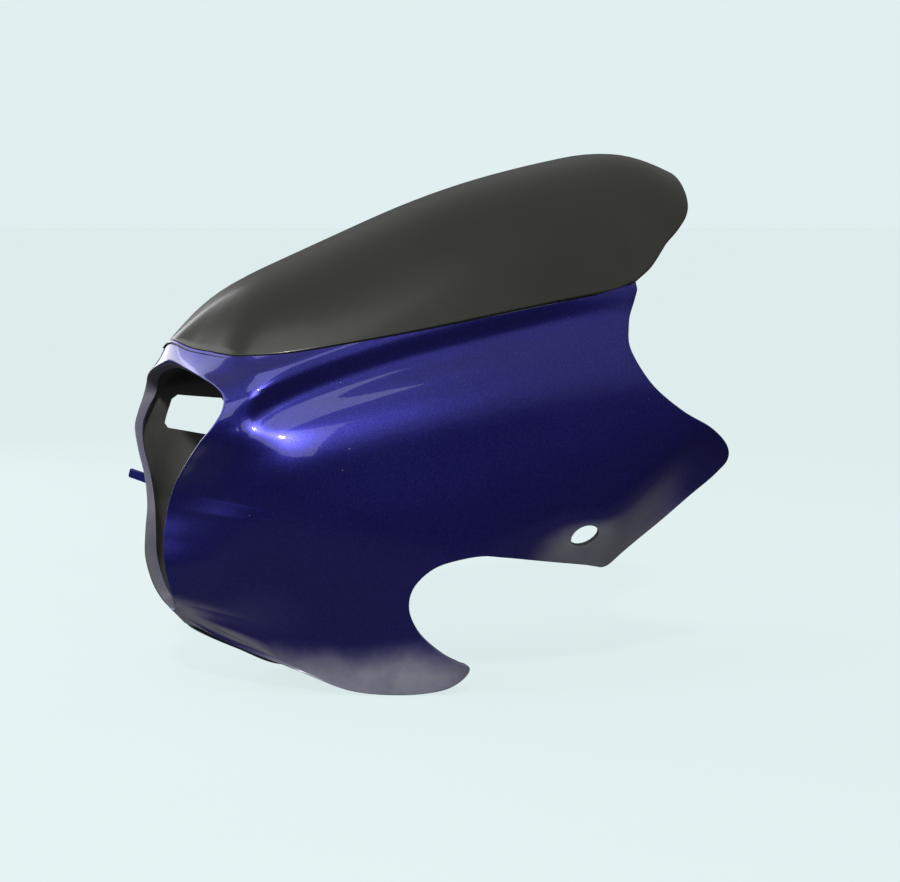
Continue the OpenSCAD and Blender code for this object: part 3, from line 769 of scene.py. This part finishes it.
# the floor is lit close to the object and falls into shade further out
where = n.add("ShaderNodeVectorMath", {0: n.pos, 1: (1 / 0.36, 1 / 0.27, 0)}, operation="MULTIPLY")
reach = n.add("ShaderNodeVectorMath", {0: where.outputs[0]}, operation="LENGTH").outputs["Value"]
dark = n.add("ShaderNodeMapRange", {"Value": reach, "From Min": 0.85, "From Max": 1.5},
             interpolation_type="SMOOTHSTEP").outputs["Result"]
level = n.math("MULTIPLY_ADD", dark, -(FLOOR_LIT - FLOOR_FLAG), FLOOR_LIT)
lit = n.add("ShaderNodeEmission", {"Color": (0.95, 0.97, 1.0, 1), "Strength": level})
path = n.add("ShaderNodeLightPath")
both = n.add("ShaderNodeMixShader", {0: path.outputs["Is Camera Ray"], 1: lit.outputs[0],
                                     2: seen.outputs[0]})
n.t.links.new(both.outputs[0], n.out.inputs[0])
me.materials.append(n.mat)
floor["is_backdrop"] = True


def aim(ob, target):
    ob.rotation_euler = (Vector(target) - ob.location).to_track_quat("-Z", "Y").to_euler()


def area(name, loc, target, size, power, colour=(1, 1, 1), size_y=None, shape="DISK"):
    la = bpy.data.lights.new(name, "AREA")
    la.shape = "RECTANGLE" if size_y else shape
    la.size = size
    if size_y:
        la.size_y = size_y
    la.energy, la.color = power, colour
    ob = bpy.data.objects.new(name, la)
    ob.location = loc
    aim(ob, target)
    bpy.context.scene.collection.objects.link(ob)
    return ob


# the key light glints on the shoulder of the cheek, behind the corner of the opening
bpy.context.view_layer.update()
tree = BVHTree.FromObject(shell, bpy.context.evaluated_depsgraph_get())
ray = ((287 - 430) * PX / DIST * RIGHT - (438 - 440) * PX / DIST * UP - BACK).normalized()
P, PN = tree.ray_cast(eye, ray)[:2]
PN = PN if PN.dot(ray) < 0 else -PN
glint = ray - PN * (2 * PN.dot(ray))
print("glint", [round(v, 3) for v in glint], "azimuth", round(math.degrees(math.atan2(glint.y, glint.x))),
      "elevation", round(math.degrees(math.asin(glint.z))))
glint.z = max(glint.z, 0.12)
sun = bpy.data.lights.new("key", "SUN")
sun.energy, sun.angle, sun.color = 1.8, math.radians(3.5), (1.0, 0.98, 0.95)
sun_ob = bpy.data.objects.new("key", sun)
sun_ob.rotation_euler = (-glint).to_track_quat("-Z", "Y").to_euler()
bpy.context.scene.collection.objects.link(sun_ob)
area("front", (1.9, -0.9, 0.8), (0.15, 0, 0), 2.6, 19.0, (0.98, 0.99, 1.0), 1.6)
area("soft", (0.95, 1.85, 0.78), (0.1, 0.1, 0.0), 1.4, 7.0, (1.0, 0.99, 0.97), 1.25)
area("over", (0.9, 0.8, 1.7), (0.0, 0, 0.1), 1.5, 8.5, (0.98, 0.99, 1.0), 1.3)
area("fill", (1.9, 0.95, 0.5), (0.15, 0, 0), 0.9, 4.0, (0.98, 0.99, 1.0), 0.9)
area("rim", (0.7, -2.0, 0.5), (0.1, 0, 0), 1.5, 10.0, (0.98, 0.99, 1.0), 1.0)

world = bpy.data.worlds.new("surroundings")
bpy.context.scene.world = world
world.use_nodes = True
wt = world.node_tree
wt.nodes.clear()
wout = wt.nodes.new("ShaderNodeOutputWorld")
bg = wt.nodes.new("ShaderNodeBackground")
tc = wt.nodes.new("ShaderNodeTexCoord")
sp = wt.nodes.new("ShaderNodeSeparateXYZ")
mr_ = wt.nodes.new("ShaderNodeMapRange")
ra = wt.nodes.new("ShaderNodeValToRGB")
mr_.inputs["From Min"].default_value = -1
wt.links.new(tc.outputs["Generated"], sp.inputs[0])
wt.links.new(sp.outputs["Z"], mr_.inputs["Value"])
wt.links.new(mr_.outputs[0], ra.inputs[0])
e = ra.color_ramp.elements
e[0].position, e[0].color = 0.0, (0.05, 0.05, 0.05, 1)
e[1].position, e[1].color = 1.0, (0.30, 0.30, 0.29, 1)
for p, c in ((0.50, (0.05, 0.05, 0.052)), (0.54, (0.07, 0.07, 0.072)), (0.60, (0.16, 0.16, 0.165)),
             (0.72, (0.22, 0.22, 0.22))):
    x = e.new(p)
    x.color = (*c, 1)
bg2 = wt.nodes.new("ShaderNodeBackground")
bg2.inputs[0].default_value = (0.753, 0.863, 0.871, 1)
lp = wt.nodes.new("ShaderNodeLightPath")
mx = wt.nodes.new("ShaderNodeMixShader")
wt.links.new(ra.outputs[0], bg.inputs[0])
wt.links.new(lp.outputs["Is Camera Ray"], mx.inputs[0])
wt.links.new(bg.outputs[0], mx.inputs[1])
wt.links.new(bg2.outputs[0], mx.inputs[2])
wt.links.new(mx.outputs[0], wout.inputs[0])
bpy.context.scene.view_settings.view_transform = "Standard"

SIZE["visual"] = box_now()
